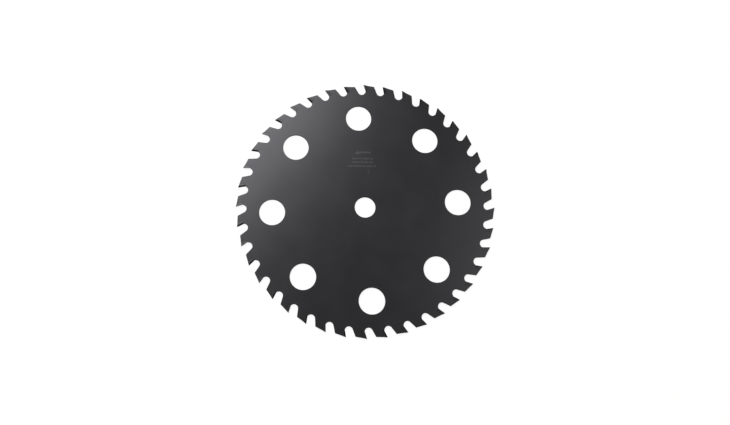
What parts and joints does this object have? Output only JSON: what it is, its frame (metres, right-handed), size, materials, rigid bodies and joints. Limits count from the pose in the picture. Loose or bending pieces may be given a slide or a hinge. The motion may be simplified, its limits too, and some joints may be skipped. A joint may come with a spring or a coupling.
{
  "type": "toothed cutting disc",
  "caption": "Flat round cutting disc: thin dark steel core with a plain arbor bore, a ring of round holes, and hooked teeth that each carry an alternately bevelled brazed cutting tip.",
  "frame": {"origin": "centre of the arbor bore, in the disc's middle plane", "axes": "+Z is the disc's axis and points out of the face from which the teeth point anticlockwise; +X goes through the centre of the first round hole"},
  "size_m": [0.2496, 0.2496, 0.0022],
  "materials": {
    "core_steel": "black-finished steel sheet, satin",
    "tip_dark": "dark ground cutting tip, satin"
  },
  "bodies": {
    "root": {"steel_core": "core_steel", "tip_01": "tip_dark", "tip_02": "tip_dark", "tip_03": "tip_dark", "tip_04": "tip_dark", "tip_05": "tip_dark", "tip_06": "tip_dark", "tip_07": "tip_dark", "tip_08": "tip_dark", "tip_09": "tip_dark", "tip_10": "tip_dark", "tip_11": "tip_dark", "tip_12": "tip_dark", "tip_13": "tip_dark", "tip_14": "tip_dark", "tip_15": "tip_dark", "tip_16": "tip_dark", "tip_17": "tip_dark", "tip_18": "tip_dark", "tip_19": "tip_dark", "tip_20": "tip_dark", "tip_21": "tip_dark", "tip_22": "tip_dark", "tip_23": "tip_dark", "tip_24": "tip_dark", "tip_25": "tip_dark", "tip_26": "tip_dark", "tip_27": "tip_dark", "tip_28": "tip_dark", "tip_29": "tip_dark", "tip_30": "tip_dark", "tip_31": "tip_dark", "tip_32": "tip_dark", "tip_33": "tip_dark", "tip_34": "tip_dark", "tip_35": "tip_dark", "tip_36": "tip_dark", "tip_37": "tip_dark", "tip_38": "tip_dark", "tip_39": "tip_dark", "tip_40": "tip_dark"}
  },
  "joints": []
}
